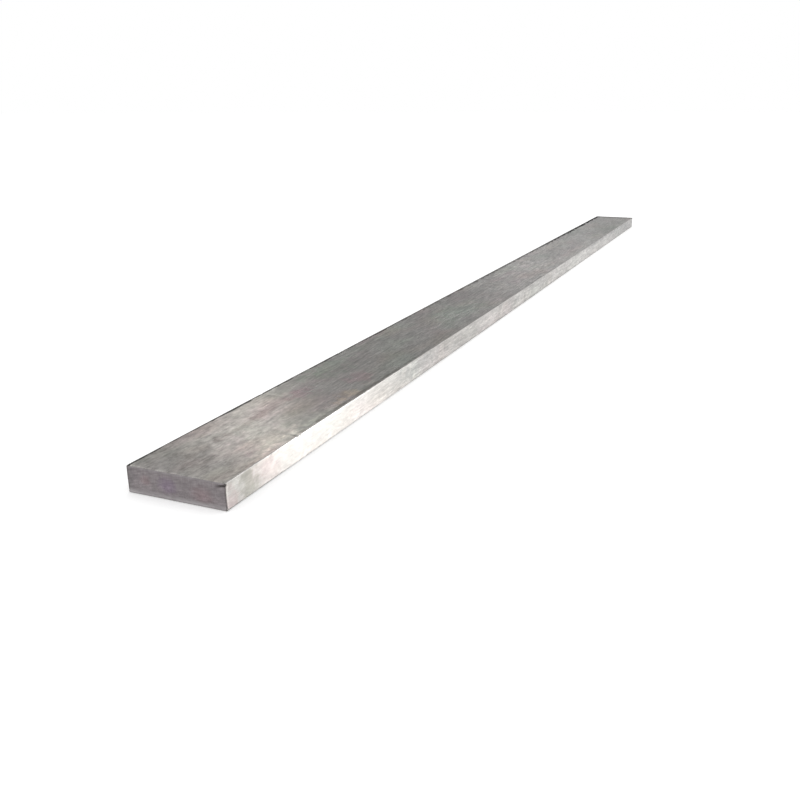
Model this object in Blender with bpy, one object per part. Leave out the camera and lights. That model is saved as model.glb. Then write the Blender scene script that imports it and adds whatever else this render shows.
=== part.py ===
"""Stainless steel flat bar, 100 x 25 mm in section and 2 m long.

One piece of rolled bar, lying flat on its broad face with its length along Y. Its long edges keep the small
radius that the rolls leave. The near end, at -Y, was cropped to length in a shear whose blade came down from
above. From the top down it has a rolled-over edge, a smooth cut band, a torn face that leans back under the
band, and a lip along the bottom where the metal let go. The far end is cut square, and its rim is broken.

The origin is at the middle of the bottom face. Metres, +Z up.
"""

import math

import bmesh
import bpy
from mathutils import Matrix

BAR_WIDTH = 0.100
BAR_THICKNESS = 0.025
BAR_LENGTH = 2.000
LONG_EDGE_RADIUS = 0.0010

ROLLOVER_RADIUS = 0.0024
CUT_BAND_SHARE = 0.42
TORN_FACE_LEAN = 0.0009
LIP_HEIGHT = 0.0020
LIP_SETBACK = 0.0002
LIP_EDGE_RADIUS = 0.0004

FAR_RIM_BREAK = 0.0005

CROP_WASTE = 0.012
CUTTER_OVERRUN = 0.005

LONG_EDGE_STEPS = 6
ROLLOVER_STEPS = 8
LIP_EDGE_STEPS = 3

STEEL_COLOUR = (0.56, 0.55, 0.53, 1.0)
STEEL_ROUGHNESS = 0.36

# A section is drawn across the bar and drawn out along Y. A side view is drawn along the bar and drawn out in X.
ACROSS_THE_BAR = Matrix(((1, 0, 0), (0, 0, -1), (0, 1, 0))).to_4x4()
ALONG_THE_BAR = Matrix(((0, 0, 1), (1, 0, 0), (0, 1, 0))).to_4x4()


def clear_scene():
    for old in list(bpy.data.objects):
        bpy.data.objects.remove(old, do_unlink=True)


def new_collection(name):
    collection = bpy.data.collections.new(name)
    bpy.context.scene.collection.children.link(collection)
    return collection


def arc(centre, radius, start, end, steps):
    """Points along an arc, both ends included. The angles are in degrees."""
    points = []
    for step in range(steps + 1):
        angle = math.radians(start + (end - start) * step / steps)
        points.append((centre[0] + radius * math.cos(angle), centre[1] + radius * math.sin(angle)))
    return points


def section_outline():
    """The bar's section: width by thickness, standing on its bottom face, with four rolled corners."""
    inner = BAR_WIDTH / 2 - LONG_EDGE_RADIUS
    low = LONG_EDGE_RADIUS
    high = BAR_THICKNESS - LONG_EDGE_RADIUS
    corners = [((inner, low), -90), ((inner, high), 0), ((-inner, high), 90), ((-inner, low), 180)]
    points = []
    for centre, start in corners:
        points += arc(centre, LONG_EDGE_RADIUS, start, start + 90, LONG_EDGE_STEPS)
    return points


def crop_outline():
    """What the shear takes off, seen from the side: all that lies beyond the end it leaves on the bar."""
    end = -BAR_LENGTH / 2
    top = BAR_THICKNESS
    beyond = end - CROP_WASTE - CUTTER_OVERRUN
    lip_face = end + LIP_SETBACK
    band_foot = top - ROLLOVER_RADIUS - CUT_BAND_SHARE * BAR_THICKNESS
    outline = [(beyond, top + CUTTER_OVERRUN), (beyond, -CUTTER_OVERRUN)]
    outline.append((lip_face + LIP_EDGE_RADIUS, -CUTTER_OVERRUN))
    lip_centre = (lip_face + LIP_EDGE_RADIUS, LIP_EDGE_RADIUS)
    outline += arc(lip_centre, LIP_EDGE_RADIUS, 270, 180, LIP_EDGE_STEPS)
    outline.append((lip_face, LIP_HEIGHT / 2))
    outline.append((end + TORN_FACE_LEAN, LIP_HEIGHT))
    outline.append((end, band_foot))
    roll_centre = (end + ROLLOVER_RADIUS, top - ROLLOVER_RADIUS)
    outline += arc(roll_centre, ROLLOVER_RADIUS, 180, 90, ROLLOVER_STEPS)
    outline.append((end + ROLLOVER_RADIUS, top + CUTTER_OVERRUN))
    return outline


def outline_solid(name, outline, depth, turned, collection):
    """A flat outline as a filled 2D curve, drawn out to its depth, turned and made one welded mesh."""
    curve = bpy.data.curves.new(name, "CURVE")
    curve.dimensions = "2D"
    curve.fill_mode = "BOTH"
    curve.extrude = depth / 2
    spline = curve.splines.new("POLY")
    spline.points.add(len(outline) - 1)
    for point, (across, up) in zip(spline.points, outline):
        point.co = (across, up, 0, 1)
    spline.use_cyclic_u = True
    drawn = bpy.data.objects.new(name, curve)
    collection.objects.link(drawn)
    bpy.context.view_layer.update()

    seen = drawn.evaluated_get(bpy.context.evaluated_depsgraph_get())
    mesh = bpy.data.meshes.new_from_object(seen)
    bpy.data.objects.remove(drawn)
    bpy.data.curves.remove(curve)
    mesh.name = name
    mesh.transform(turned)

    work = bmesh.new()
    work.from_mesh(mesh)
    bmesh.ops.remove_doubles(work, verts=work.verts, dist=1e-6)
    bmesh.ops.recalc_face_normals(work, faces=work.faces)
    work.to_mesh(mesh)
    work.free()

    solid = bpy.data.objects.new(name, mesh)
    collection.objects.link(solid)
    return solid


def break_far_rim(bar):
    """Bevels the rim of the far end, which is cut square."""
    far = max(vertex.co.y for vertex in bar.data.vertices)
    work = bmesh.new()
    work.from_mesh(bar.data)
    rim = []
    for edge in work.edges:
        flat = all(abs(vertex.co.y - far) < 1e-6 for vertex in edge.verts)
        if flat and edge.calc_face_angle(0.0) > math.radians(45):
            rim.append(edge)
    bmesh.ops.bevel(
        work, geom=rim, offset=FAR_RIM_BREAK, segments=1, profile=0.5, affect="EDGES", material=-1
    )
    work.to_mesh(bar.data)
    work.free()


def brushed_steel():
    steel = bpy.data.materials.new("brushed_stainless")
    steel.use_nodes = True
    shader = steel.node_tree.nodes["Principled BSDF"]
    shader.inputs["Base Color"].default_value = STEEL_COLOUR
    shader.inputs["Metallic"].default_value = 1.0
    shader.inputs["Roughness"].default_value = STEEL_ROUGHNESS
    return steel


def flat_bar(collection, cutters):
    """The stock, longer than the bar by what the shear wastes, then cropped at its near end."""
    stock_length = BAR_LENGTH + CROP_WASTE
    bar = outline_solid("flat_bar", section_outline(), stock_length, ACROSS_THE_BAR, collection)
    bar.data.transform(Matrix.Translation((0, -CROP_WASTE / 2, 0)))
    break_far_rim(bar)

    cutter_width = BAR_WIDTH + 2 * CUTTER_OVERRUN
    cutter = outline_solid("near_end_crop", crop_outline(), cutter_width, ALONG_THE_BAR, cutters)
    cutter.hide_render = True
    cutter.display_type = "WIRE"
    crop = bar.modifiers.new("crop_near_end", "BOOLEAN")
    crop.operation = "DIFFERENCE"
    crop.object = cutter

    bar.data.materials.append(brushed_steel())
    bar.data.shade_smooth()
    bar.data.set_sharp_from_angle(angle=math.radians(35))
    return bar


def main():
    clear_scene()
    flat_bar(new_collection("stainless_flat_bar"), new_collection("cutters"))


main()
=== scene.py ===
"""Stainless steel flat bar: its finish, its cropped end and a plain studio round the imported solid.

The bar lies on its broad face with its length along Y. The near end, at -Y, was cropped in a shear, which
left a rolled-over top edge, a smooth cut band, a torn face and a lip along the bottom. The far end is sawn
square. Metres, +Z up.
"""

import math
import random

import bmesh
import bpy
from bpy.props import FloatProperty, FloatVectorProperty, IntProperty, PointerProperty
from mathutils import Matrix, Vector, noise


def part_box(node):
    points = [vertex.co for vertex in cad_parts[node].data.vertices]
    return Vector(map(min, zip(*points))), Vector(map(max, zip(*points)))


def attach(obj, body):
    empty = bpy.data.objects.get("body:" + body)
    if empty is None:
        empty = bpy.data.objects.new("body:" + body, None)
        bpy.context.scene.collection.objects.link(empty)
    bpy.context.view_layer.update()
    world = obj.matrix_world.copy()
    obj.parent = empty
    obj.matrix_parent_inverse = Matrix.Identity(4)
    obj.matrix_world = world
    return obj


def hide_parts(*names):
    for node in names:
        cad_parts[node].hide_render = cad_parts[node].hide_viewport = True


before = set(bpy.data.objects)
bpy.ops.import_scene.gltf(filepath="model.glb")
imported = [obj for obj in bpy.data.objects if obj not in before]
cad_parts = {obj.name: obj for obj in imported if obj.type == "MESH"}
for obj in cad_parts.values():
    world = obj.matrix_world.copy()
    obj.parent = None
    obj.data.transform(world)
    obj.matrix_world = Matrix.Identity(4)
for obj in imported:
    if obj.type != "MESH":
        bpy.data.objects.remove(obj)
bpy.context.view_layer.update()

bl_info = {
    "name": "Stainless Flat Bar",
    "version": (1, 0, 0),
    "blender": (4, 5, 0),
    "location": "View3D > Sidebar > Flat Bar",
    "description": "Adds a stainless steel flat bar with a cropped end, and a plain studio to show it in",
    "category": "Object",
}

MM = 0.001
BAR_LOW, BAR_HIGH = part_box("flat_bar")
BAR_WIDTH = BAR_HIGH.x - BAR_LOW.x
BAR_LENGTH = BAR_HIGH.y - BAR_LOW.y
BAR_THICKNESS = BAR_HIGH.z - BAR_LOW.z

BROAD_FACE, NARROW_SIDE, CROPPED_END, SAWN_END = range(4)

# The cropped end's relief fades out over this much of the bar.
END_REGION = 5.0 * MM

# A nick rises to the right under the cropped end's top right corner, and is deepest at the edge.
NICK_LENGTH = 13.5 * MM
NICK_START_BELOW_TOP = 5.4 * MM
NICK_EDGE_BELOW_TOP = 2.1 * MM
NICK_DEPTH = 1.2 * MM

FLOOR_GAP = 0.4 * MM

# Heights between which the grey card lightens and darkens, and places along Y between which it whitens.
CARD_LIGHTENS = (0.335, 0.675)
CARD_DARKENS = (0.73, 1.0)
CARD_WHITENS = (-1.0, -3.0)

# The spot on the top, near the cropped end, that the left and the right softbox are aimed at.
LIT_SPOT = Vector((0.0, BAR_LOW.y + 0.135, BAR_HIGH.z))
NEUTRAL = (1.0, 1.0, 1.0)
WARM = (1.0, 0.93, 0.88)

# A stain's reach along the axis on which it has no limit.
EVERYWHERE = 10.0


def a_setting(name, description, default, kind=FloatProperty, **options):
    return kind(name=name, description=description, default=default, **options)


def a_length(*about, **limits):
    return a_setting(*about, unit="LENGTH", **limits)


def an_angle(*about):
    return a_setting(*about, subtype="ANGLE")


def a_share(*about, low=0.0, high=1.0):
    return a_setting(*about, subtype="FACTOR", min=low, max=high)


def a_colour(*about):
    return a_setting(*about, kind=FloatVectorProperty, subtype="COLOR", size=3, min=0.0, max=1.0)


class FlatBarSizes(bpy.types.PropertyGroup):
    """The sizes of the bar's edges and of what the shear left on its near end"""

    long_edge_radius: a_length(
        "Long Edge Radius",
        "Radius that the rolls leave along the four long edges",
        1.0 * MM,
        min=0.2 * MM,
    )
    rollover_radius: a_length(
        "Rollover Radius",
        "Radius of the cropped end's top edge, where the blade first pulled the metal down",
        2.4 * MM,
        min=0.2 * MM,
    )
    cut_band_share: a_share(
        "Cut Band Share",
        "Share of the thickness that the blade cut smoothly before the metal tore",
        0.42,
        low=0.1,
        high=0.7,
    )
    torn_face_lean: a_length(
        "Torn Face Lean",
        "How far the torn face leans back at its foot",
        0.9 * MM,
        min=0.0,
    )
    torn_relief: a_length(
        "Torn Face Relief",
        "Height of the torn face's lumps",
        0.16 * MM,
        min=0.0,
    )
    lip_height: a_length(
        "Lip Height",
        "Height of the lip along the bottom of the cropped end",
        2.0 * MM,
        min=0.5 * MM,
    )
    lip_setback: a_length(
        "Lip Setback",
        "How far the lip's face stands back from the cut band",
        0.2 * MM,
        min=0.0,
    )
    upright_edge_radius: a_length(
        "Upright Edge Radius",
        "Radius of the cropped end's two upright edges",
        0.8 * MM,
        min=0.05 * MM,
    )
    small_edge_radius: a_length(
        "Small Edge Radius",
        "Radius of the lip's edge and of the sawn end's edges",
        0.4 * MM,
        min=0.05 * MM,
    )
    edge_knocks: a_setting(
        "Edge Knocks",
        "Small knocks along the two upper long edges",
        9,
        kind=IntProperty,
        min=0,
        max=40,
    )


class FlatBarFinish(bpy.types.PropertyGroup):
    """The colours of the bar's surfaces"""

    broad_face: a_colour(
        "Broad Face",
        "Dull brushed steel of the top and the underside",
        (0.425, 0.410, 0.392),
    )
    narrow_side: a_colour(
        "Narrow Side",
        "Brighter rolled steel of the two narrow sides",
        (0.46, 0.445, 0.425),
    )
    cropped_end: a_colour(
        "Cropped End",
        "Dull metal where the shear cut and tore the bar",
        (0.212, 0.192, 0.197),
    )
    sawn_end: a_colour(
        "Sawn End",
        "Fresh metal of the sawn far end",
        (0.42, 0.41, 0.40),
    )


class FlatBarStudio(bpy.types.PropertyGroup):
    """Where the camera stands and what it sees round the bar"""

    camera_right: a_length(
        "Camera Right",
        "Distance of the lens to the right of the bar's centre line",
        0.4358,
    )
    camera_back: a_length(
        "Camera Back",
        "Distance of the lens behind the bar's cropped end",
        0.5375,
    )
    camera_height: a_length(
        "Camera Height",
        "Height of the lens above the floor",
        0.3086,
    )
    camera_turn: an_angle(
        "Camera Turn",
        "How far the camera turns left of the bar's length",
        math.radians(23.38),
    )
    camera_dip: an_angle(
        "Camera Dip",
        "How far the camera looks below the horizon",
        math.radians(18.26),
    )
    camera_roll: an_angle(
        "Camera Roll",
        "Roll of the camera about its line of sight",
        math.radians(-0.18),
    )
    focal_length: a_setting(
        "Focal Length",
        "Focal length in millimetres for a sensor 36 mm wide",
        39.303,
        min=10.0,
    )
    floor_size: a_length(
        "Floor Size",
        "Side of the square floor",
        400.0,
    )
    floor_glow: a_share(
        "Floor Glow",
        "How much the camera and the reflections see the floor lifted towards white",
        0.33,
    )
    sky_light: a_setting(
        "Sky Light",
        "Strength of the even light from all round",
        0.86,
        min=0.0,
    )
    card_distance: a_length(
        "Card Distance",
        "Radius of the round wall of grey card",
        4.0,
        min=2.0,
    )
    card_height: a_length(
        "Card Height",
        "Height of the round wall of grey card",
        3.0,
        min=0.0,
    )
    card_tone: a_share(
        "Card Tone",
        "Tone of the grey card, from black to white",
        0.33,
    )
    card_foot_tone: a_share(
        "Card Foot Tone",
        "Tone of the grey card's lower part, which the far half of the bar mirrors",
        0.93,
    )
    card_floor_tone: a_share(
        "Card Floor Tone",
        "Tone of the grey card where it meets the floor, which the bar's far end mirrors",
        0.30,
    )
    floor_colour: a_colour(
        "Floor Colour",
        "Pale floor under the bar",
        (0.80, 0.80, 0.80),
    )


class NodeTree:
    """Adds and links the nodes of one material, world or group."""

    def __init__(self, tree):
        self.tree = tree

    def add(self, kind, inputs=None, **settings):
        node = self.tree.nodes.new(kind)
        for name, value in settings.items():
            setattr(node, name, value)
        for name, value in (inputs or {}).items():
            self.feed(node.inputs[name], value)
        return node

    def feed(self, socket, value):
        if isinstance(value, bpy.types.NodeSocket):
            self.tree.links.new(value, socket)
        else:
            socket.default_value = value

    def maths(self, operation, *values):
        node = self.add("ShaderNodeMath", operation=operation)
        for socket, value in zip(node.inputs, values):
            self.feed(socket, value)
        return node.outputs[0]

    def plus(self, first, second):
        return self.maths("ADD", first, second)

    def minus(self, first, second):
        return self.maths("SUBTRACT", first, second)

    def times(self, first, second):
        return self.maths("MULTIPLY", first, second)

    def vector(self, operation, *values):
        node = self.add("ShaderNodeVectorMath", operation=operation)
        for socket, value in zip(node.inputs, values):
            self.feed(socket, value)
        return node.outputs[0]

    def noise(self, vector, scale, detail=2.0, roughness=0.5):
        inputs = {"Vector": vector, "Scale": scale, "Detail": detail, "Roughness": roughness}
        return self.add("ShaderNodeTexNoise", inputs).outputs["Fac"]

    def fit(self, value, low, high, to_low=0.0, to_high=1.0, smooth=True):
        """The value's range from low to high, brought to another range."""
        kind = "SMOOTHSTEP" if smooth else "LINEAR"
        inputs = {"Value": value, "From Min": low, "From Max": high, "To Min": to_low, "To Max": to_high}
        return self.add("ShaderNodeMapRange", inputs, interpolation_type=kind).outputs["Result"]

    def spread(self, value):
        """Noise, which mostly lies between 0.3 and 0.7, brought to the whole range from 0 to 1."""
        return self.fit(value, 0.3, 0.7)

    def parts(self, vector):
        return self.add("ShaderNodeSeparateXYZ", {"Vector": vector}).outputs

    def mix(self, factor, first, second, blend="MIX"):
        node = self.add("ShaderNodeMix", data_type="RGBA", blend_type=blend)
        for index, value in ((0, factor), (6, first), (7, second)):
            self.feed(node.inputs[index], value)
        return node.outputs[2]


def new_group(name, values, masks):
    """A group that takes Vector and some values and gives masks: (its nodes, its inputs, its outputs)."""
    group = bpy.data.node_groups.new(name, "ShaderNodeTree")
    group.interface.new_socket("Vector", in_out="INPUT", socket_type="NodeSocketVector")
    for value, default in values.items():
        socket = group.interface.new_socket(value, in_out="INPUT", socket_type="NodeSocketFloat")
        socket.default_value = default
    for mask in masks:
        group.interface.new_socket(mask, in_out="OUTPUT", socket_type="NodeSocketFloat")
    nodes = NodeTree(group)
    return nodes, nodes.add("NodeGroupInput").outputs, nodes.add("NodeGroupOutput").inputs


def place_group(nodes, name, vector):
    """Adds a group to a material and returns its outputs."""
    return nodes.add("ShaderNodeGroup", {"Vector": vector}, node_tree=bpy.data.node_groups[name]).outputs


def stretched(nodes, vector, across, along):
    """The position stretched so that a step of noise is this wide across the bar and this long."""
    return nodes.vector("MULTIPLY", vector, (1 / across, 1 / along, 1 / across))


def brushing_group():
    """What the brushing belt leaves along the bar: dashes, streaks, a few long lines and soft bands."""
    nodes, given, result = new_group(
        "lengthwise_brushing",
        {"Dash Width": 1.2 * MM, "Streak Width": 2.7 * MM, "Band Width": 16 * MM},
        ("Dashes", "Streaks", "Lines", "Bands", "Height"),
    )

    def lines(width, length_per_width, detail, roughness):
        across = nodes.maths("DIVIDE", 1.0, width)
        along = nodes.maths("DIVIDE", across, length_per_width)
        scale = nodes.add("ShaderNodeCombineXYZ", {"X": across, "Y": along, "Z": across}).outputs[0]
        return nodes.noise(nodes.vector("MULTIPLY", given["Vector"], scale), 1.0, detail, roughness)

    dashes = lines(given["Dash Width"], 6.0, 3.0, 0.6)
    streaks = lines(given["Streak Width"], 11.0, 4.0, 0.6)
    long_lines = lines(given["Streak Width"], 45.0, 1.0, 0.5)
    bands = lines(given["Band Width"], 12.0, 2.0, 0.5)
    light = nodes.fit(long_lines, 0.60, 0.72, 0.5, 1.0)
    dark = nodes.fit(long_lines, 0.40, 0.28, 0.0, 0.5)
    nodes.feed(result["Dashes"], nodes.spread(dashes))
    nodes.feed(result["Streaks"], nodes.spread(streaks))
    nodes.feed(result["Lines"], nodes.minus(light, dark))
    nodes.feed(result["Bands"], nodes.spread(bands))
    nodes.feed(result["Height"], nodes.plus(dashes, nodes.times(streaks, 1.5)))


def mottling_group():
    """Soft patches left by pickling and handling, and the pink, green and brown that they lean to."""
    nodes, given, result = new_group(
        "pickling_patches", {"Patch Size": 45 * MM}, ("Tone", "Pink", "Green", "Brown")
    )
    scale = nodes.maths("DIVIDE", 1.0, given["Patch Size"])
    slow = nodes.vector("MULTIPLY", given["Vector"], (1.0, 0.4, 1.0))
    tone = nodes.noise(slow, scale, 4.0, 0.55)
    nodes.feed(result["Tone"], nodes.spread(tone))
    for name, offset in (("Pink", (3.7, 1.9, 0.4)), ("Green", (8.2, 5.3, 2.6)), ("Brown", (1.3, 7.1, 5.2))):
        patch = nodes.noise(nodes.vector("ADD", slow, offset), scale, 2.0, 0.5)
        nodes.feed(result[name], nodes.fit(patch, 0.45, 0.75))


def long_edge_group():
    """Masks by the long edges: a line that the belt misses, the lower half, a painted dark strip by the
    upper left edge, a darker far end of the top, and worn spots.
    """
    nodes, given, result = new_group(
        "long_edges", {"Edge Width": 1.2 * MM, "Wear": 0.25}, ("Line", "Low", "Scale", "Worn")
    )
    place = nodes.parts(given["Vector"])
    from_side = nodes.minus(BAR_WIDTH / 2, nodes.maths("ABSOLUTE", place["X"]))
    middle = nodes.minus(place["Z"], BAR_THICKNESS / 2)
    from_face = nodes.minus(BAR_THICKNESS / 2, nodes.maths("ABSOLUTE", middle))
    # On a face, one of the two distances is nothing and the other is the distance to the nearest long edge.
    distance = nodes.maths("MAXIMUM", from_side, from_face)
    wander = nodes.noise(stretched(nodes, given["Vector"], 0.004, 0.02), 1.0, 2.0, 0.5)
    wander = nodes.fit(wander, 0.3, 0.7, 0.7, 1.5)
    width = nodes.times(given["Edge Width"], wander)
    nodes.feed(result["Line"], nodes.fit(distance, width, nodes.times(width, 0.75)))
    low = nodes.maths("LESS_THAN", place["Z"], BAR_THICKNESS / 2)
    nodes.feed(result["Low"], low)

    # A painted dark reflection beside the upper left edge, where the rounded edge mirrors the dark: a strip
    # that widens and darkens towards the far end.
    from_end = nodes.minus(place["Y"], BAR_LOW.y)
    near_width, far_width = 2.6 * MM, 9.6 * MM
    strip = nodes.fit(from_end, 0.0, BAR_LENGTH, near_width, far_width, smooth=False)
    strip = nodes.times(wander, strip)
    inward = nodes.maths("MAXIMUM", from_side, nodes.times(from_face, 2.5))
    scale = nodes.fit(inward, strip, nodes.times(strip, 0.7))
    clear_rim = nodes.fit(distance, 0.9 * MM, 0.4 * MM)
    clear_rim = nodes.times(clear_rim, nodes.fit(from_end, 0.75 * BAR_LENGTH, 0.62 * BAR_LENGTH))
    scale = nodes.times(scale, nodes.minus(1.0, clear_rim))
    near_strength = nodes.fit(from_end, 0.22 * BAR_LENGTH, 0.35 * BAR_LENGTH, 0.80, 0.48)
    far_strength = nodes.fit(from_end, 0.55 * BAR_LENGTH, 0.82 * BAR_LENGTH, 0.0, 0.95)
    scale = nodes.times(scale, nodes.maths("MAXIMUM", near_strength, far_strength))
    scale = nodes.times(scale, nodes.maths("LESS_THAN", place["X"], 0.0))
    # The top face is darker for its last centimetres too.
    dark_far_strip = nodes.fit(from_end, BAR_LENGTH - 24 * MM, BAR_LENGTH - 10 * MM, 0.0, 0.6)
    dark_far_strip = nodes.times(dark_far_strip, nodes.fit(from_face, 2.0 * MM, 0.5 * MM))
    scale = nodes.maths("MAXIMUM", scale, dark_far_strip)
    nodes.feed(result["Scale"], nodes.times(scale, nodes.minus(1.0, low)))

    patchy = nodes.noise(stretched(nodes, given["Vector"], 0.003, 0.012), 1.0, 4.0, 0.65)
    threshold = nodes.minus(0.75, nodes.times(given["Wear"], 0.3))
    worn = nodes.fit(patchy, threshold, nodes.plus(threshold, 0.08))
    near = nodes.fit(distance, nodes.times(width, 2.0), width)
    nodes.feed(result["Worn"], nodes.times(worn, near))


def handling_group():
    """Marks of use: light scratches at odd angles, and small dark specks."""
    nodes, given, result = new_group(
        "handling_marks", {"Scratches": 0.5, "Specks": 0.5}, ("Scratches", "Specks")
    )
    parts = nodes.parts(given["Vector"])
    # The faces unrolled flat, so that a scratch stays straight on each of them.
    round_bar = nodes.plus(parts["X"], parts["Z"])
    flat = nodes.add("ShaderNodeCombineXYZ", {"X": round_bar, "Y": parts["Y"]}).outputs[0]
    total = None
    for turn, offset in ((0.12, 0.0), (-0.22, 5.0), (0.9, 11.0)):
        turned = nodes.add(
            "ShaderNodeMapping",
            {"Vector": flat, "Rotation": (0.0, 0.0, turn), "Location": (offset, 0.0, 0.0)},
        ).outputs[0]
        line = nodes.noise(nodes.vector("MULTIPLY", turned, (520.0, 4.0, 0.0)), 1.0, 0.0)
        thin = nodes.fit(nodes.maths("ABSOLUTE", nodes.minus(line, 0.5)), 0.012, 0.0)
        patch = nodes.fit(nodes.noise(turned, 26.0, 1.0), 0.56, 0.62)
        thin = nodes.times(thin, patch)
        total = thin if total is None else nodes.maths("MAXIMUM", total, thin)
    nodes.feed(result["Scratches"], nodes.times(total, given["Scratches"]))
    cells = nodes.add(
        "ShaderNodeTexVoronoi", {"Vector": given["Vector"], "Scale": 260.0}, feature="F1"
    ).outputs
    dot = nodes.fit(cells["Distance"], 0.16, 0.05)
    rare = nodes.maths("GREATER_THAN", nodes.noise(cells["Position"], 900.0, 0.0), 0.64)
    speck = nodes.times(dot, rare)
    nodes.feed(result["Specks"], nodes.times(speck, given["Specks"]))


def metal_material(name, roughness):
    """A bare metal material: (material, its nodes, its shader, the object's coordinates)."""
    material = bpy.data.materials.new(name)
    material.use_nodes = True
    nodes = NodeTree(material.node_tree)
    shader = material.node_tree.nodes["Principled BSDF"]
    shader.inputs["Metallic"].default_value = 1.0
    shader.inputs["Roughness"].default_value = roughness
    place = nodes.add("ShaderNodeTexCoord").outputs["Object"]
    return material, nodes, shader, place


def shade(colour, factor):
    return (colour[0] * factor, colour[1] * factor, colour[2] * factor, 1.0)


def bump(nodes, shader, height, distance):
    node = nodes.add("ShaderNodeBump", {"Height": height, "Distance": distance, "Strength": 1.0})
    nodes.feed(shader.inputs["Normal"], node.outputs[0])


def swing(nodes, mask, amount):
    """A factor that goes from 1 - amount to 1 + amount as the mask goes from 0 to 1."""
    return nodes.fit(mask, 0.0, 1.0, 1 - amount, 1 + amount, smooth=False)


def tinted(nodes, mask, base, tint):
    """The base colour multiplied by a tint where the mask is 1."""
    return nodes.mix(mask, base, nodes.mix(1.0, base, (*tint, 1.0), "MULTIPLY"))


def with_stains_and_painted_light(nodes, base, place, ragged, stains_and_painted_light):
    """The base colour with soft stains and patches of painted light and shade, each with its centre, its
    reach along each axis and its tint.
    """
    for centre, reach, tint in stains_and_painted_light:
        offset = nodes.vector("DIVIDE", nodes.vector("SUBTRACT", place, centre), reach)
        away = nodes.add("ShaderNodeVectorMath", {0: offset}, operation="LENGTH").outputs["Value"]
        base = tinted(nodes, nodes.fit(nodes.plus(away, ragged), 1.0, 0.2), base, tint)
    return base


def lengthwise_metal(
    name, colour, stains_and_painted_light, roughness, contrast, mottling, tinting, edge_light_and_shade, end_tones, dull_length
):
    """Steel with its grain along the bar. The edge tones paint a highlight along the upper edges and a
    shadow along the lower ones, and the end tones darken the two ends, the far one as painted shade.
    """
    material, nodes, shader, place = metal_material(name, roughness)
    grain = place_group(nodes, "lengthwise_brushing", place)
    patches = place_group(nodes, "pickling_patches", place)
    edges = place_group(nodes, "long_edges", place)
    marks = place_group(nodes, "handling_marks", place)
    from_end = nodes.minus(nodes.parts(place)["Y"], BAR_LOW.y)

    # The brushing is faint by the cropped end, where the metal is mottled instead.
    level = swing(nodes, grain["Streaks"], contrast)
    fainter = ((grain["Dashes"], 0.9), (grain["Lines"], 0.5), (grain["Bands"], 0.2), (patches["Tone"], 0.5))
    for mask, share in fainter:
        level = nodes.times(level, swing(nodes, mask, share * contrast))
    mottle = nodes.noise(stretched(nodes, place, 0.0045, 0.011), 1.0, 5.0, 0.7)
    mottled = swing(nodes, nodes.spread(mottle), mottling)
    soft = nodes.times(nodes.plus(nodes.times(level, 0.3), 0.7), mottled)
    brushed = nodes.fit(from_end, 0.08, 0.40)
    level = nodes.add("ShaderNodeMix", {0: brushed, 2: soft, 3: level}, data_type="FLOAT").outputs[0]
    base = nodes.mix(1.0, shade(colour, 1.0), level, "MULTIPLY")
    tints = {"Pink": (1.08, 0.96, 1.01), "Green": (0.93, 1.03, 0.96), "Brown": (1.05, 0.99, 0.94)}
    for patch, tint in tints.items():
        base = tinted(nodes, nodes.times(patches[patch], tinting), base, tint)
    ragged = nodes.fit(nodes.noise(place, 90.0, 3.0), 0.3, 0.7, -0.5, 0.5, smooth=False)
    base = with_stains_and_painted_light(nodes, base, place, ragged, stains_and_painted_light)

    # The first few centimetres from the cropped end are duller, with a ragged limit; the far end is darker,
    # a painted shade.
    limit = nodes.plus(from_end, nodes.times(ragged, 0.02))
    by_end = nodes.fit(limit, dull_length, 0.3 * dull_length)
    far_shade = nodes.fit(from_end, 0.65 * BAR_LENGTH, 0.97 * BAR_LENGTH)
    for mask, tone in ((by_end, end_tones[0]), (far_shade, end_tones[1])):
        base = tinted(nodes, mask, base, (tone, tone, tone))

    # Painted highlight and painted shadow along the long edges: the upper edges lighter, the lower ones
    # darker, and both darker for the first centimetres from the cropped end, a painted shade.
    painted_edge_tone = nodes.fit(edges["Low"], 0.0, 1.0, *edge_light_and_shade, smooth=False)
    painted_edge_tone = nodes.times(painted_edge_tone, nodes.fit(from_end, 0.05, 0.12, 0.60, 1.0))
    base = nodes.mix(edges["Line"], base, nodes.mix(1.0, shade(colour, 1.0), painted_edge_tone, "MULTIPLY"))
    # The dark strip by the upper left edge is a painted reflection of the dark that the rounded edge
    # mirrors; the top's far end is darker too.
    base = nodes.mix(edges["Scale"], base, shade(colour, 0.04))
    base = nodes.mix(nodes.times(edges["Worn"], 0.5), base, shade(colour, 1.3))
    base = nodes.mix(marks["Scratches"], base, shade(colour, 1.35))
    base = nodes.mix(marks["Specks"], base, shade(colour, 0.45))
    nodes.feed(shader.inputs["Base Color"], base)

    dull = nodes.fit(grain["Streaks"], 0.0, 1.0, roughness + 0.03, roughness - 0.03, smooth=False)
    dull = nodes.plus(dull, nodes.fit(patches["Tone"], 0.0, 1.0, 0.02, -0.02, smooth=False))
    for mask, rise in ((edges["Line"], 0.06), (edges["Scale"], 0.55)):
        dull = nodes.plus(dull, nodes.times(mask, rise))
    nodes.feed(shader.inputs["Roughness"], nodes.plus(dull, nodes.times(by_end, 0.06)))
    shader.inputs["Anisotropic"].default_value = 0.9
    facing = nodes.add("ShaderNodeNewGeometry").outputs["Normal"]
    nodes.feed(shader.inputs["Tangent"], nodes.vector("CROSS_PRODUCT", facing, (0.0, 1.0, 0.0)))
    bump(nodes, shader, grain["Height"], 0.00003)
    return material


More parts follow.
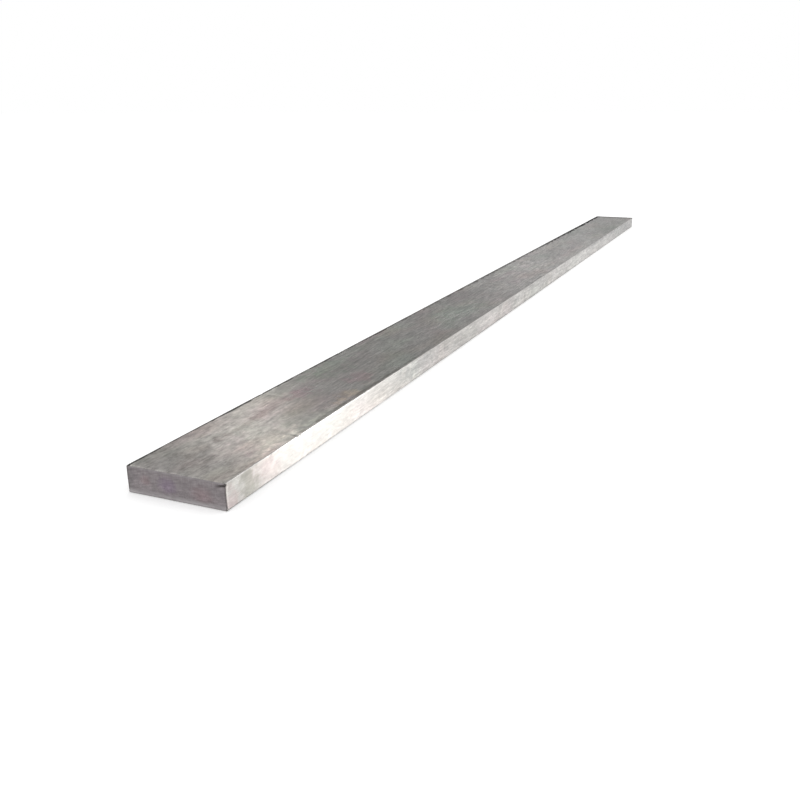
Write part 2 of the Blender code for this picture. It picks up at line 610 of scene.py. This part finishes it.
def brushed_face_material(colour):
    """The dull brushed top and underside, faintly pink where the light falls and green beyond it, with
    painted highlight and painted shade along it.
    """
    # Each is a stain, a lighter or darker spot or streak, or a patch of painted light or shade: its place
    # across and along, its reach both ways, and its tint.
    marks = (
        (0.022, 0.100, 0.040, 0.060, (1.03, 0.98, 1.01)),
        # Painted highlight: the lamp's light by the right edge near the cropped end.
        (0.038, 0.092, 0.020, 0.050, (1.16, 1.14, 1.14)),
        (-0.012, 0.232, 0.018, 0.026, (1.04, 0.90, 0.97)),
        (0.020, 0.308, 0.020, 0.032, (1.06, 0.92, 0.97)),
        (0.034, 0.245, 0.014, 0.030, (1.08, 1.00, 0.90)),
        (-0.026, 0.330, 0.030, 0.070, (0.92, 1.02, 0.95)),
        (0.010, 0.690, 0.040, 0.090, (0.93, 1.02, 0.96)),
        (-0.018, 0.190, 0.011, 0.100, (0.86, 0.84, 0.84)),
        (-0.003, 0.155, 0.004, 0.060, (1.16, 1.14, 1.15)),
        (-0.031, 0.085, 0.004, 0.030, (1.14, 1.14, 1.12)),
        # Painted shade and painted light that follow the room's reflection: darker at 0.6 m, lighter about
        # a metre along, darker towards the far end.
        (0.006, 0.590, 0.034, 0.060, (0.91, 0.92, 0.90)),
        (0.000, 1.020, 0.080, 0.190, (1.32, 1.31, 1.32)),
        (-0.038, 1.080, 0.020, 0.150, (1.20, 1.20, 1.20)),
        (0.032, 1.740, 0.046, 0.220, (0.64, 0.66, 0.60)),
        (0.000, 1.700, 0.080, 0.260, (0.93, 0.94, 0.94)),
        (-0.036, 0.090, 0.026, 0.085, (0.87, 0.88, 0.87)),
        (-0.044, 0.230, 0.014, 0.090, (0.90, 0.89, 0.90)),
        # Painted highlight and painted reflection by the right edge: a lighter band and a light line just
        # inside it, and a dark line just inside the edge.
        (0.043, 0.205, 0.016, 0.130, (1.12, 1.13, 1.10)),
        (0.0415, 0.200, 0.0048, 0.190, (1.25, 1.25, 1.23)),
        (0.0465, 0.280, 0.0034, 0.200, (0.56, 0.54, 0.52)),
        (-0.012, 0.130, 0.007, 0.140, (0.82, 0.80, 0.79)),
        (-0.002, 0.165, 0.003, 0.070, (1.10, 1.09, 1.09)),
    )
    stains_and_painted_light = [((x, BAR_LOW.y + y, 0.0), (wide, long, EVERYWHERE), tint) for x, y, wide, long, tint in marks]
    return lengthwise_metal(
        "brushed_face",
        colour,
        stains_and_painted_light,
        roughness=0.31,
        contrast=0.26,
        mottling=0.30,
        tinting=0.9,
        edge_light_and_shade=(1.25, 0.70),
        end_tones=(0.76, 0.94),
        dull_length=0.088,
    )


def rolled_side_material(colour):
    """The brighter rolled narrow sides, with an olive stain and a pink one by the cropped end, and painted
    highlight and painted shade along them.
    """
    # Each is a stain or a patch of painted light or shade: its place along and up, its reach both ways, and
    # its tint.
    marks = (
        # Painted highlight on the upright corner by the cropped end.
        (0.0015, 0.013, 0.0026, 0.060, (1.30, 1.28, 1.28)),
        (0.008, 0.008, 0.016, 0.020, (1.06, 0.97, 0.99)),
        (0.034, 0.008, 0.023, 0.028, (0.79, 0.80, 0.76)),
        (0.066, 0.012, 0.020, 0.030, (1.01, 0.96, 0.965)),
        # Painted highlight low down in the bright zone; then painted shade: along the top by the cropped
        # end, where the bright zone ends, along the top further on and towards the far end.
        (0.260, 0.003, 0.080, 0.012, (1.16, 1.16, 1.16)),
        (0.018, 0.025, 0.040, 0.006, (0.84, 0.84, 0.84)),
        (0.440, 0.016, 0.100, 0.020, (0.80, 0.81, 0.82)),
        (0.970, 0.018, 0.270, 0.016, (0.78, 0.78, 0.78)),
        (1.620, 0.027, 0.560, 0.0130, (0.62, 0.62, 0.63)),
        (1.840, 0.020, 0.180, 0.016, (0.84, 0.84, 0.84)),
        (1.940, 0.010, 0.150, 0.026, (0.66, 0.66, 0.66)),
        # Painted shadow along the lower edge, where the bar meets what it lies on.
        (1.200, 0.000, 0.900, 0.0034, (0.62, 0.62, 0.62)),
    )
    stains_and_painted_light = [((0.0, BAR_LOW.y + y, z), (EVERYWHERE, long, high), tint) for y, z, long, high, tint in marks]
    return lengthwise_metal(
        "rolled_side",
        colour,
        stains_and_painted_light,
        roughness=0.34,
        contrast=0.20,
        mottling=0.11,
        tinting=0.4,
        edge_light_and_shade=(1.10, 0.66),
        end_tones=(0.73, 0.64),
        dull_length=0.098,
    )


def cropped_end_material(colour, sizes):
    """The sheared end: a scored cut band, a grainy torn face painted lighter, heat tints, a painted
    highlight on the head and foot, and painted shade by the upright edges and in the nick.
    """
    material, nodes, shader, place = metal_material("cropped_end", 0.42)
    parts = nodes.parts(place)
    band_foot = BAR_THICKNESS - sizes.rollover_radius - sizes.cut_band_share * BAR_THICKNESS
    wander = nodes.noise(nodes.vector("MULTIPLY", place, (70.0, 0.0, 0.0)), 1.0, 3.0)
    foot = nodes.plus(band_foot, nodes.fit(wander, 0.0, 1.0, -0.006, 0.006, smooth=False))
    torn = nodes.fit(nodes.minus(foot, parts["Z"]), -0.0015, 0.0015)

    scoring = nodes.noise(nodes.vector("MULTIPLY", place, (1500.0, 1.0, 70.0)), 1.0, 3.0)
    slant = (0.0, math.radians(14), 0.0)
    slanted = nodes.add("ShaderNodeMapping", {"Vector": place, "Rotation": slant}).outputs[0]
    drag = nodes.noise(nodes.vector("MULTIPLY", slanted, (60.0, 1.0, 700.0)), 1.0, 4.0, 0.6)
    grains = nodes.noise(place, 900.0, 4.0, 0.65)
    lumps = nodes.noise(nodes.vector("MULTIPLY", place, (0.7, 1.0, 1.3)), 230.0, 4.0, 0.6)

    cut = swing(nodes, nodes.spread(scoring), 0.10)
    rough = swing(nodes, nodes.spread(grains), 0.12)
    # The torn face is painted lighter than the cut band, to offset the shade that it mirrors as it leans
    # back.
    level = nodes.fit(torn, 0.0, 1.0, cut, nodes.times(rough, 1.18), smooth=False)
    level = nodes.times(level, swing(nodes, nodes.spread(lumps), 0.14))
    level = nodes.times(level, swing(nodes, nodes.spread(drag), 0.10))
    base = nodes.mix(1.0, shade(colour, 1.0), level, "MULTIPLY")

    # Violet left of the middle and a faint red at both its sides, where the cut ran hot.
    ragged = nodes.fit(lumps, 0.0, 1.0, -0.5, 0.5, smooth=False)
    stains_and_painted_light = (
        ((-0.0085, 0.0, 0.0130), (0.013, EVERYWHERE, 0.011), (0.98, 0.90, 1.06)),
        ((-0.0310, 0.0, 0.0140), (0.008, EVERYWHERE, 0.007), (1.05, 0.95, 0.95)),
        ((0.0260, 0.0, 0.0100), (0.015, EVERYWHERE, 0.012), (1.06, 0.95, 0.96)),
        ((-0.0490, 0.0, 0.0120), (0.010, EVERYWHERE, 0.022), (0.84, 0.85, 0.85)),
    )
    base = with_stains_and_painted_light(nodes, base, place, ragged, stains_and_painted_light)

    # The rolled edge and the foot, which the blades rubbed smoother, are painted lighter than the face
    # between them: a painted highlight where they catch the light.
    bright = nodes.noise(nodes.vector("MULTIPLY", place, (90.0, 1.0, 300.0)), 1.0, 3.0)
    bright = nodes.fit(bright, 0.3, 0.65, 0.4, 1.0)
    radius = sizes.rollover_radius
    head_highlight = nodes.fit(parts["Z"], BAR_THICKNESS - radius, BAR_THICKNESS - 0.4 * radius)
    on_lip = nodes.fit(parts["Z"], 0.5 * sizes.lip_height, 0.1 * sizes.lip_height, 0.95, 0.15)
    foot_highlight = nodes.fit(parts["Z"], sizes.lip_height * 2.8, sizes.lip_height * 0.8, 0.0, on_lip)
    lip = nodes.times(nodes.maths("MAXIMUM", nodes.times(head_highlight, 0.5), foot_highlight), bright)
    base = nodes.mix(lip, base, (0.37, 0.35, 0.355, 1.0))

    # Painted shade: a broken dark line follows the two upright edges, and the nick is painted dark inside.
    from_edge = nodes.minus(BAR_WIDTH / 2, nodes.maths("ABSOLUTE", parts["X"]))
    broken = nodes.noise(nodes.vector("MULTIPLY", place, (60.0, 1.0, 220.0)), 1.0, 2.0)
    broken = nodes.fit(broken, 0.35, 0.6, 0.45, 1.0)
    line = nodes.times(nodes.fit(from_edge, 2.0 * MM, 0.8 * MM), broken)
    nick_shade = nodes.fit(nodes.minus(parts["Y"], BAR_LOW.y), 0.2 * MM, 0.9 * MM)
    high = nodes.maths("GREATER_THAN", parts["Z"], BAR_THICKNESS - 8.5 * MM)
    by_corner = nodes.maths("GREATER_THAN", parts["X"], BAR_WIDTH / 2 - NICK_LENGTH - 1.5 * MM)
    nick_shade = nodes.times(nick_shade, nodes.times(high, by_corner))
    nick_shade = nodes.times(nick_shade, nodes.fit(parts["Z"], BAR_THICKNESS - 1.2 * MM, BAR_THICKNESS - 2.0 * MM))
    dark = nodes.maths("MAXIMUM", nodes.times(line, 0.75), nodes.times(nick_shade, 0.6))
    red, green, blue = colour
    base = nodes.mix(dark, base, (0.4 * red, 0.4 * green, 0.36 * blue, 1.0))
    nodes.feed(shader.inputs["Base Color"], base)

    dull = nodes.fit(torn, 0.0, 1.0, 0.40, 0.50, smooth=False)
    nodes.feed(shader.inputs["Roughness"], nodes.minus(dull, nodes.times(lip, 0.08)))
    relief = nodes.fit(torn, 0.0, 1.0, scoring, nodes.plus(grains, lumps), smooth=False)
    bump(nodes, shader, relief, 0.0001)
    return material


def sawn_end_material(colour):
    """The sawn far end, with the blade's fine parallel marks."""
    material, nodes, shader, place = metal_material("sawn_end", 0.36)
    marks = nodes.noise(nodes.vector("MULTIPLY", place, (12.0, 1.0, 1900.0)), 1.0, 3.0)
    steps = nodes.noise(nodes.vector("MULTIPLY", place, (6.0, 1.0, 350.0)), 1.0, 2.0)
    base = nodes.mix(nodes.spread(marks), shade(colour, 0.85), shade(colour, 1.15))
    base = nodes.mix(nodes.fit(steps, 0.4, 0.65, 0.0, 0.5), base, shade(colour, 1.2))
    nodes.feed(shader.inputs["Base Color"], base)
    nodes.feed(shader.inputs["Roughness"], nodes.fit(marks, 0.3, 0.7, 0.42, 0.30))
    bump(nodes, shader, nodes.plus(marks, steps), 0.00006)
    return material


def rounded(first, second, first_edge, second_edge, radius):
    """A point near the edge of a square corner, drawn in to a round one of this radius."""
    into_first = first - (first_edge - radius)
    into_second = second - (second_edge - radius)
    if into_first <= 0 or into_second <= 0:
        return first, second
    share = max(into_first, into_second) / math.hypot(into_first, into_second)
    return first_edge - radius + into_first * share, second_edge - radius + into_second * share


def eased(value, low, high):
    """0 below low and 1 above high, smooth between them."""
    share = min(max((value - low) / (high - low), 0.0), 1.0)
    return share * share * (3 - 2 * share)


def wave(place, size, seed=0.0):
    """Smooth noise from -1 to 1 along a line, with waves of about this size."""
    return noise.noise(Vector((place / size, seed, 0.37)))


class BarShape:
    """Where each point of the sliced box goes on the finished bar."""

    def __init__(self, sizes):
        self.sizes = sizes
        self.half = BAR_WIDTH / 2
        self.end = BAR_LENGTH / 2
        self.top = BAR_THICKNESS
        rng = random.Random(11)
        self.knocks = []
        for number in range(sizes.edge_knocks):
            along = rng.uniform(-0.96, 0.96) * self.end
            side = self.half if number % 2 else -self.half
            reach = rng.uniform(1.6, 3.4) * MM
            depth = rng.uniform(0.2, 0.5) * MM
            self.knocks.append((Vector((side, along, self.top)), reach, depth))

    def rollover(self, x):
        """The radius of the cropped end's top edge, which wanders along the cut."""
        at_left_corner = eased(-x, self.half - 16 * MM, self.half)
        wander = 0.35 * wave(x, 0.011) + 0.2 * wave(x, 0.0035, 4.0)
        return self.sizes.rollover_radius * (1.0 + wander + 0.2 * at_left_corner)

    def band_foot(self, x):
        """How high the smooth cut band ends and the torn face starts."""
        foot = self.top - self.sizes.rollover_radius - self.sizes.cut_band_share * self.top
        return foot + (1.3 * wave(x, 0.018, 2.0) + 0.5 * wave(x, 0.005, 3.0)) * MM

    def nick(self, x, z):
        """Depth of the nick under the cropped end's top right corner, a wedge that opens at the edge."""
        start = Vector((self.half - NICK_LENGTH, self.top - NICK_START_BELOW_TOP))
        to_edge = Vector((self.half, self.top - NICK_EDGE_BELOW_TOP)) - start
        from_start = Vector((x, z)) - start
        share = from_start.dot(to_edge) / to_edge.length_squared
        beside = abs(from_start.x * to_edge.y - from_start.y * to_edge.x) / to_edge.length
        beside += 0.2 * MM * wave(x, 0.0022, 12.0)
        depth = NICK_DEPTH * eased(share, 0.0, 0.8)
        return depth * (1 - eased(beside, 0.2 * MM, (0.6 + 0.9 * max(share, 0.0)) * MM))

    def end_relief(self, x, z):
        """How far the cropped end stands back from its plane at this place."""
        sizes = self.sizes
        foot = self.band_foot(x)
        lip = sizes.lip_height * (1.0 + 0.25 * wave(x, 0.009, 6.0) + 0.12 * wave(x, 0.003, 7.0))
        torn = eased(foot - z, 0.0, 0.9 * MM)
        # The tear ran straighter towards the left corner.
        lean = sizes.torn_face_lean * (1 - 0.7 * eased(-x, self.half - 24 * MM, self.half - 4 * MM))
        lean *= min(max((foot - z) / (foot - lip), 0.0), 1.0)
        lumps = noise.fractal(Vector((x, 0.0, z)) / (2.2 * MM), 0.8, 2.1, 4)
        back = lean + torn * sizes.torn_relief * (0.6 + 0.7 * lumps)
        on_lip = eased(lip - z, 0.0, 0.55 * lip)
        lip_face = sizes.lip_setback + 0.1 * MM * wave(x, 0.004, 9.0)
        back = back * (1 - on_lip) + lip_face * on_lip
        drag = 0.02 * MM * noise.noise(Vector((x / (0.5 * MM), 0.0, z / (9 * MM))))
        return max(back + drag * (1 - torn), 0.0) + self.nick(x, z)

    def edge_radius(self, y, seed):
        """The radius of a long edge, which wanders along the bar."""
        wander = 0.22 * wave(y, 0.05, seed) + 0.14 * wave(y, 0.012, seed + 1)
        return self.sizes.long_edge_radius * (1.0 + wander)

    def place(self, point):
        """The box's point drawn in to the round edges, then moved by the end's relief and the knocks."""
        x, y, z = point
        sizes = self.sizes
        across = abs(x)
        side = math.copysign(1.0, x)
        small = sizes.small_edge_radius
        from_end = y + self.end

        back, z = rounded(-y, z, self.end, self.top, self.rollover(x))
        back, across = rounded(back, across, self.end, self.half, sizes.upright_edge_radius)
        back, low = rounded(back, -z, self.end, 0.0, small)
        y, z = -back, -low
        y, z = rounded(y, z, self.end, self.top, small)
        y, across = rounded(y, across, self.end, self.half, small)
        y, low = rounded(y, -z, self.end, 0.0, small)
        z = -low
        across, z = rounded(across, z, self.half, self.top, self.edge_radius(y, side * 3.0))
        across, low = rounded(across, -z, self.half, 0.0, self.edge_radius(y, side * 3.0 + 20.0))
        z = -low

        if from_end < END_REGION:
            y += self.end_relief(point.x, point.z) * (1 - eased(from_end, 0.0, END_REGION))
        moved = Vector((side * across, y, z))
        for centre, reach, depth in self.knocks:
            away = (moved - centre).length
            if away < reach * 1.5:
                inward = Vector((-math.copysign(0.7, centre.x), 0.0, -0.7))
                moved += inward * depth * (1 - eased(away, 0.2 * reach, 1.5 * reach))
        return moved


def spaced(start, end, step):
    """Places from start to end, both left out, about this far apart."""
    count = max(1, round((end - start) / step))
    return [start + (end - start) * number / count for number in range(1, count)]


def slice_mesh(mesh, axis, places, inside=None):
    """Cuts the mesh by planes square to an axis: all of it, or only the faces whose middle is inside."""
    normal = Vector((0, 0, 0))
    normal[axis] = 1.0
    faces = [face for face in mesh.faces if inside is None or inside(face.calc_center_bounds())]
    edges = {edge for face in faces for edge in face.edges}
    verts = {vert for face in faces for vert in face.verts}
    pieces = [*verts, *edges, *faces]
    for place in places:
        cut = bmesh.ops.bisect_plane(mesh, geom=pieces, dist=1e-7, plane_co=normal * place, plane_no=normal)
        pieces = cut["geom"]


def near_corner_lines(edge, radius, direction):
    """Places beside a box edge that come out evenly round its radius, with one support line inside it."""
    inner = [radius * math.tan(math.radians(angle)) for angle in (0, 15, 30)]
    lines = [edge - direction * (radius - step) for step in inner]
    return lines + [edge - direction * (radius * 1.6)]


def slice_whole_bar(mesh, sizes):
    """Cuts the box beside its edges and at even steps across and along it."""
    half, end, top = BAR_WIDTH / 2, BAR_LENGTH / 2, BAR_THICKNESS
    radius = sizes.long_edge_radius
    across = near_corner_lines(half, radius, 1) + near_corner_lines(-half, radius, -1)
    across += spaced(-half + 2 * MM, half - 2 * MM, 12 * MM)
    upward = near_corner_lines(top, radius, 1) + near_corner_lines(0.0, radius, -1)
    slice_mesh(mesh, 0, across)
    slice_mesh(mesh, 2, upward)
    stations = [-end + END_REGION] + spaced(-end + END_REGION, 0.0, 9 * MM)
    stations += [0.0] + spaced(0.0, end - 2 * MM, 9 * MM)
    stations += [end - 2 * MM] + near_corner_lines(end, sizes.small_edge_radius, 1)
    slice_mesh(mesh, 1, stations)


def slice_near_end(mesh):
    """Cuts the cropped end finely for its relief, and finer still round the nick."""
    half, end, top = BAR_WIDTH / 2, BAR_LENGTH / 2, BAR_THICKNESS

    def near_end(middle):
        return middle.y < -end + END_REGION

    fine = spaced(-half + 1.5 * MM, half - 1.5 * MM, 0.5 * MM)
    fine += [side * (half - step * MM) for side in (-1, 1) for step in (0.1, 0.25, 0.4, 0.6, 0.8, 1.2)]
    rise = spaced(0.0, 3.2 * MM, 0.25 * MM) + spaced(3.2 * MM, top - 3.5 * MM, 0.45 * MM)
    rise += spaced(top - 3.5 * MM, top, 0.25 * MM)
    slice_mesh(mesh, 0, fine, near_end)
    slice_mesh(mesh, 2, rise, near_end)
    back = (0.1, 0.25, 0.4, 0.6, 0.8, 1.05, 1.35, 1.7, 2.1, 2.6, 3.2, 4.0)
    slice_mesh(mesh, 1, [-end + step * MM for step in back], near_end)

    nick_left = half - NICK_LENGTH - 1 * MM
    nick_foot = top - 8 * MM
    nick_head = top - 1 * MM

    def by_nick(middle):
        in_front = middle.y < -end + 3 * MM
        return in_front and middle.x > nick_left and nick_foot < middle.z < nick_head

    slice_mesh(mesh, 0, spaced(nick_left, half, 0.25 * MM), by_nick)
    slice_mesh(mesh, 2, spaced(nick_foot, nick_head, 0.125 * MM), by_nick)


def slice_by_knocks(mesh, knocks):
    """Cuts the long edges across where they were knocked."""
    end = BAR_LENGTH / 2
    for centre, reach, _depth in knocks:

        def beside_knock(middle, centre=centre, reach=reach):
            return (middle - centre).length < 2.2 * reach + 4.5 * MM and abs(middle.y) < end - END_REGION

        around = [centre.y + reach * step for step in (-1.5, -1.1, -0.75, -0.4, -0.1, 0.2, 0.55, 0.9, 1.3)]
        slice_mesh(mesh, 1, around, beside_knock)


def bar_mesh(sizes):
    """A box sliced where the bar has relief, and the shape that its points go to."""
    mesh = bmesh.new()
    size = Matrix.Diagonal((BAR_WIDTH, BAR_LENGTH, BAR_THICKNESS, 1.0))
    matrix = Matrix.Translation((0, 0, BAR_THICKNESS / 2)) @ size
    bmesh.ops.create_cube(mesh, size=1.0, matrix=matrix)
    shape = BarShape(sizes)
    slice_whole_bar(mesh, sizes)
    slice_near_end(mesh)
    slice_by_knocks(mesh, shape.knocks)
    return mesh, shape


def finish_slots(mesh):
    """Gives each face its material by the side of the box that it lies on."""
    for face in mesh.faces:
        normal = face.normal
        if normal.y < -0.9:
            face.material_index = CROPPED_END
        elif normal.y > 0.9:
            face.material_index = SAWN_END
        elif abs(normal.x) > 0.9:
            face.material_index = NARROW_SIDE
        else:
            face.material_index = BROAD_FACE


def unrolled_map(mesh):
    """A map named OFBake: the long faces unrolled in a near and a far half, and both ends above them."""
    layer = mesh.loops.layers.uv.new("OFBake")
    heights = {"top": BAR_WIDTH, "right": BAR_THICKNESS, "under": BAR_WIDTH, "left": BAR_THICKNESS}
    gap = 0.006
    end_height = 0.12
    row_scale = (1.0 - end_height - 10 * gap) / (4 * (BAR_WIDTH + BAR_THICKNESS))
    rows = {}
    foot = gap
    for far_half in (False, True):
        for side, height in heights.items():
            rows[side, far_half] = foot
            foot += height * row_scale + gap
    end_width = 0.5 - 1.5 * gap
    for face in mesh.faces:
        normal = face.normal
        far_half = face.calc_center_bounds().y > 0
        for loop in face.loops:
            x, y, z = loop.vert.co
            from_start = y if far_half else y + BAR_LENGTH / 2
            along = gap + (1 - 2 * gap) * from_start / (BAR_LENGTH / 2)
            from_left = x + BAR_WIDTH / 2
            if abs(normal.y) > 0.9:
                start = gap if normal.y < 0 else 0.5 + gap / 2
                turned = from_left if normal.y < 0 else BAR_WIDTH - from_left
                place = (start + turned / BAR_WIDTH * end_width, foot + z / BAR_THICKNESS * end_height)
            elif normal.z > 0.9:
                place = (along, rows["top", far_half] + (BAR_WIDTH - from_left) * row_scale)
            elif normal.z < -0.9:
                place = (along, rows["under", far_half] + from_left * row_scale)
            elif normal.x > 0.9:
                place = (along, rows["right", far_half] + z * row_scale)
            else:
                place = (along, rows["left", far_half] + (BAR_THICKNESS - z) * row_scale)
            loop[layer].uv = place


class FLATBAR_OT_add_bar(bpy.types.Operator):
    """Adds the flat bar with its brushed faces, cropped near end and sawn far end"""

    bl_idname = "flatbar.add_bar"
    bl_label = "Add Flat Bar"

    def execute(self, context):
        sizes = context.scene.flat_bar_sizes
        finish = context.scene.flat_bar_finish
        brushing_group()
        mottling_group()
        long_edge_group()
        handling_group()

        mesh, shape = bar_mesh(sizes)
        mesh.normal_update()
        finish_slots(mesh)
        unrolled_map(mesh)
        for vert in mesh.verts:
            vert.co = shape.place(vert.co)
        mesh.normal_update()
        for face in mesh.faces:
            face.smooth = True
        data = bpy.data.meshes.new("brushed_flat_bar")
        mesh.to_mesh(data)
        mesh.free()
        data.set_sharp_from_angle(angle=math.radians(50))

        data.materials.append(brushed_face_material(finish.broad_face))
        data.materials.append(rolled_side_material(finish.narrow_side))
        data.materials.append(cropped_end_material(finish.cropped_end, sizes))
        data.materials.append(sawn_end_material(finish.sawn_end))

        bar = bpy.data.objects.new("brushed_flat_bar", data)
        context.scene.collection.objects.link(bar)
        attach(bar, "root")
        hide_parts("flat_bar")
        return {"FINISHED"}


def white_to_eye(nodes):
    """1 for rays from the camera and for what metal or glass shows, 0 for the light on things."""
    path = nodes.add("ShaderNodeLightPath").outputs
    seen = nodes.maths("MAXIMUM", path["Is Camera Ray"], path["Is Glossy Ray"])
    return nodes.maths("MAXIMUM", seen, path["Is Transmission Ray"])


def add_world(scene, studio):
    world = bpy.data.worlds.new("white_studio")
    world.use_nodes = True
    scene.world = world
    nodes = NodeTree(world.node_tree)
    background = world.node_tree.nodes["Background"]
    nodes.feed(background.inputs["Color"], (1.0, 1.0, 1.0, 1.0))
    level = nodes.fit(white_to_eye(nodes), 0.0, 1.0, studio.sky_light, 1.0, smooth=False)
    nodes.feed(background.inputs["Strength"], level)


def link_stage(name, mesh, material):
    """Makes a stage object from a bmesh and its material."""
    data = bpy.data.meshes.new(name)
    mesh.to_mesh(data)
    mesh.free()
    data.materials.append(material)
    thing = bpy.data.objects.new(name, data)
    bpy.context.scene.collection.objects.link(thing)
    return thing


def add_floor(studio):
    material = bpy.data.materials.new("pale_floor")
    material.use_nodes = True
    nodes = NodeTree(material.node_tree)
    shader = material.node_tree.nodes["Principled BSDF"]
    shader.inputs["Base Color"].default_value = (*studio.floor_colour, 1.0)
    shader.inputs["Roughness"].default_value = 0.9
    shader.inputs["Specular IOR Level"].default_value = 0.0
    shader.inputs["Emission Color"].default_value = (1.0, 1.0, 1.0, 1.0)
    glow = nodes.times(white_to_eye(nodes), studio.floor_glow)
    nodes.feed(shader.inputs["Emission Strength"], glow)

    mesh = bmesh.new()
    bmesh.ops.create_grid(mesh, x_segments=1, y_segments=1, size=studio.floor_size / 2)
    bmesh.ops.translate(mesh, vec=(0, 0, BAR_LOW.z - FLOOR_GAP), verts=mesh.verts)
    link_stage("floor", mesh, material)


def add_surround(studio):
    """A low round wall of grey card that only reflections show, as a photographer flags bright metal."""
    material = bpy.data.materials.new("grey_card")
    material.use_nodes = True
    nodes = NodeTree(material.node_tree)
    parts = nodes.parts(nodes.add("ShaderNodeTexCoord").outputs["Object"])
    foot = nodes.fit(parts["Z"], *CARD_LIGHTENS, studio.card_floor_tone, studio.card_foot_tone)
    tone = nodes.fit(parts["Z"], *CARD_DARKENS, foot, studio.card_tone)
    tone = nodes.fit(parts["Y"], *CARD_WHITENS, tone, 1.0)
    card = nodes.add("ShaderNodeEmission", {"Strength": tone})
    nodes.feed(material.node_tree.nodes["Material Output"].inputs["Surface"], card.outputs[0])

    mesh = bmesh.new()
    height = studio.card_height
    bmesh.ops.create_cone(
        mesh,
        cap_ends=False,
        segments=96,
        radius1=studio.card_distance,
        radius2=studio.card_distance,
        depth=height,
        matrix=Matrix.Translation((0, 0, height / 2)),
    )
    wall = link_stage("grey_card", mesh, material)
    for ray in ("visible_camera", "visible_diffuse", "visible_shadow", "visible_transmission"):
        setattr(wall, ray, False)


def add_softbox(name, at, aim, width, height, radiance, colour=NEUTRAL):
    """A rectangular softbox that shines on what it is aimed at, as bright as its radiance says."""
    lamp = bpy.data.lights.new(name, "AREA")
    lamp.color = colour
    lamp.shape = "RECTANGLE"
    lamp.size = width
    lamp.size_y = height
    lamp.energy = radiance * math.pi * width * height
    softbox = bpy.data.objects.new(name, lamp)
    softbox.location = at
    softbox.rotation_euler = (Vector(aim) - Vector(at)).to_track_quat("-Z", "Y").to_euler()
    softbox.visible_camera = False
    bpy.context.scene.collection.objects.link(softbox)


class FLATBAR_OT_add_stage(bpy.types.Operator):
    """Adds the pale floor, the white background, the soft lights and the camera"""

    bl_idname = "flatbar.add_stage"
    bl_label = "Add Studio"

    def execute(self, context):
        scene = context.scene
        studio = scene.flat_bar_studio
        add_world(scene, studio)
        add_floor(studio)
        add_surround(studio)
        left_at = LIT_SPOT + Vector((-1.52, 2.28, 1.08))
        right_at = LIT_SPOT + Vector((1.80, 2.30, 0.26))
        add_softbox("overhead_softbox", (0.4, -0.2, 2.6), (0.0, 0.0, 0.0), 3.2, 3.6, 0.5)
        add_softbox("left_softbox", left_at, LIT_SPOT, 0.25, 0.9, 1.9, WARM)
        add_softbox("right_softbox", right_at, LIT_SPOT, 0.55, 0.5, 34.0)

        camera_data = bpy.data.cameras.new("camera")
        camera_data.lens = studio.focal_length
        camera_data.sensor_width = 36.0
        camera_data.clip_start = 0.01
        camera = bpy.data.objects.new("camera", camera_data)
        turn = Matrix.Rotation(studio.camera_turn, 4, "Z")
        dip = Matrix.Rotation(math.radians(90) - studio.camera_dip, 4, "X")
        roll = Matrix.Rotation(studio.camera_roll, 4, "Z")
        lens_at = (studio.camera_right, BAR_LOW.y - studio.camera_back, studio.camera_height)
        camera.matrix_world = Matrix.Translation(lens_at) @ turn @ dip @ roll
        scene.collection.objects.link(camera)
        scene.camera = camera
        scene.view_settings.view_transform = "Standard"
        return {"FINISHED"}


class FLATBAR_PT_panel(bpy.types.Panel):
    """Lists the bar's and the studio's operators with their settings"""

    bl_label = "Flat Bar"
    bl_idname = "FLATBAR_PT_panel"
    bl_space_type = "VIEW_3D"
    bl_region_type = "UI"
    bl_category = "Flat Bar"

    def draw(self, context):
        layout = self.layout
        scene = context.scene
        for operator, settings in (
            (FLATBAR_OT_add_bar, (scene.flat_bar_sizes, scene.flat_bar_finish)),
            (FLATBAR_OT_add_stage, (scene.flat_bar_studio,)),
        ):
            layout.operator(operator.bl_idname)
            box = layout.box()
            for group in settings:
                for name in group.__annotations__:
                    box.prop(group, name)


CLASSES = (
    FlatBarSizes,
    FlatBarFinish,
    FlatBarStudio,
    FLATBAR_OT_add_bar,
    FLATBAR_OT_add_stage,
    FLATBAR_PT_panel,
)


def register():
    for cls in CLASSES:
        bpy.utils.register_class(cls)
    bpy.types.Scene.flat_bar_sizes = PointerProperty(type=FlatBarSizes)
    bpy.types.Scene.flat_bar_finish = PointerProperty(type=FlatBarFinish)
    bpy.types.Scene.flat_bar_studio = PointerProperty(type=FlatBarStudio)


def unregister():
    del bpy.types.Scene.flat_bar_studio
    del bpy.types.Scene.flat_bar_finish
    del bpy.types.Scene.flat_bar_sizes
    for cls in reversed(CLASSES):
        bpy.utils.unregister_class(cls)


def main():
    register()
    bpy.ops.flatbar.add_bar()
    bpy.ops.flatbar.add_stage()


if __name__ == "__main__":
    main()
